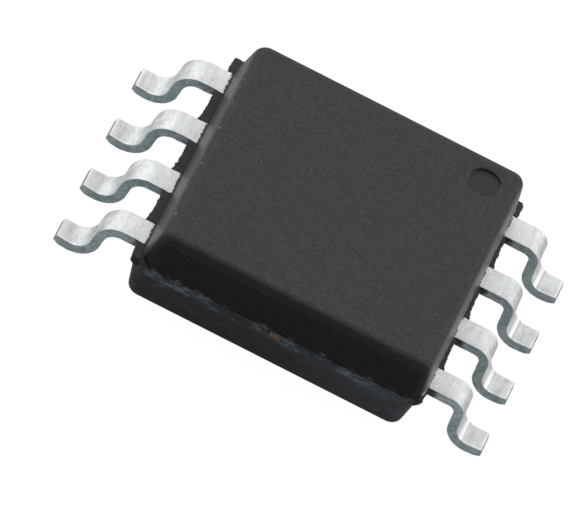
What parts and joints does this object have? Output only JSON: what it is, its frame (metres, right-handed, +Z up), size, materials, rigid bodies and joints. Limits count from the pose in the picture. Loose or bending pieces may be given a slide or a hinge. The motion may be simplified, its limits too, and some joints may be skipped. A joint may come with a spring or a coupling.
{
  "type": "soic chip",
  "caption": "Small-outline surface-mount chip: square black moulded body, index dimple, gull-wing leads on two sides, die and bond wires sealed inside.",
  "frame": {"origin": "middle of the seating plane under the heels of the leads, midway between the lead tips", "axes": "+X across the two rows of leads to the row beside the dimple, +Y along a row to the dimple's end, +Z up from the board"},
  "size_m": [0.0082, 0.0052, 0.0018],
  "materials": {
    "resin": "matte black moulding compound with a fine spark-eroded grain",
    "tin_plate": "matte tin plate over copper alloy, satin",
    "copper": "bare copper alloy",
    "silver_epoxy": "silver-filled adhesive",
    "silicon": "polished silicon",
    "gold": "bright drawn gold wire"
  },
  "bodies": {
    "root": {"moulded_body": "resin", "die_paddle": "copper", "die_attach": "silver_epoxy", "silicon_die": "silicon", "lead_right_1": "tin_plate", "lead_right_2": "tin_plate", "lead_right_3": "tin_plate", "lead_right_4": "tin_plate", "lead_left_1": "tin_plate", "lead_left_2": "tin_plate", "lead_left_3": "tin_plate", "lead_left_4": "tin_plate", "bond_wire_right_1": "gold", "bond_wire_right_2": "gold", "bond_wire_right_3": "gold", "bond_wire_right_4": "gold", "bond_wire_left_1": "gold", "bond_wire_left_2": "gold", "bond_wire_left_3": "gold", "bond_wire_left_4": "gold"}
  },
  "joints": []
}
